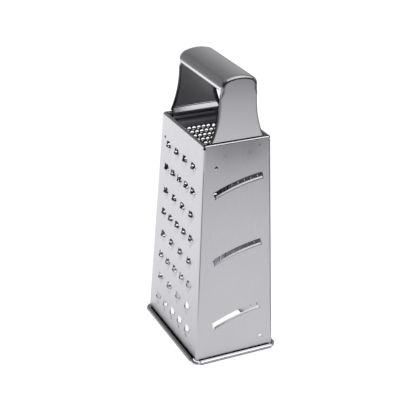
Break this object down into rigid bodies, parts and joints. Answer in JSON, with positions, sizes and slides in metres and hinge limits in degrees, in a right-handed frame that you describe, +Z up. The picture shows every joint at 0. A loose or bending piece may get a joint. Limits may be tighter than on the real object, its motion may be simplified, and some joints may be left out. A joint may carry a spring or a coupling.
{
  "type": "box grater",
  "caption": "Four-sided box grater of folded stainless sheet with an arched sheet-metal grip and a wire-stiffened base",
  "frame": {"origin": "middle of the footprint on the floor", "axes": "Z up along the grater, -Y the slicing side, -X the coarse side, +Y the fine side, +X the rasp side"},
  "size_m": [0.077, 0.1034, 0.2398],
  "materials": {
    "body_sheet": "satin stainless sheet",
    "handle_sheet": "satin stainless sheet",
    "wire": "drawn stainless wire",
    "weld": "resistance weld nugget"
  },
  "bodies": {
    "root": {"coarse_panel": "body_sheet", "slicer_panel": "body_sheet", "fine_panel": "body_sheet", "rasp_panel": "body_sheet", "seam_flange": "body_sheet", "base_wire": "wire", "handle": "handle_sheet", "weld_front_left": "weld", "weld_front_right": "weld", "weld_back_left": "weld", "weld_back_right": "weld", "seam_weld_1": "weld", "seam_weld_2": "weld", "seam_weld_3": "weld", "seam_weld_4": "weld"}
  },
  "joints": []
}
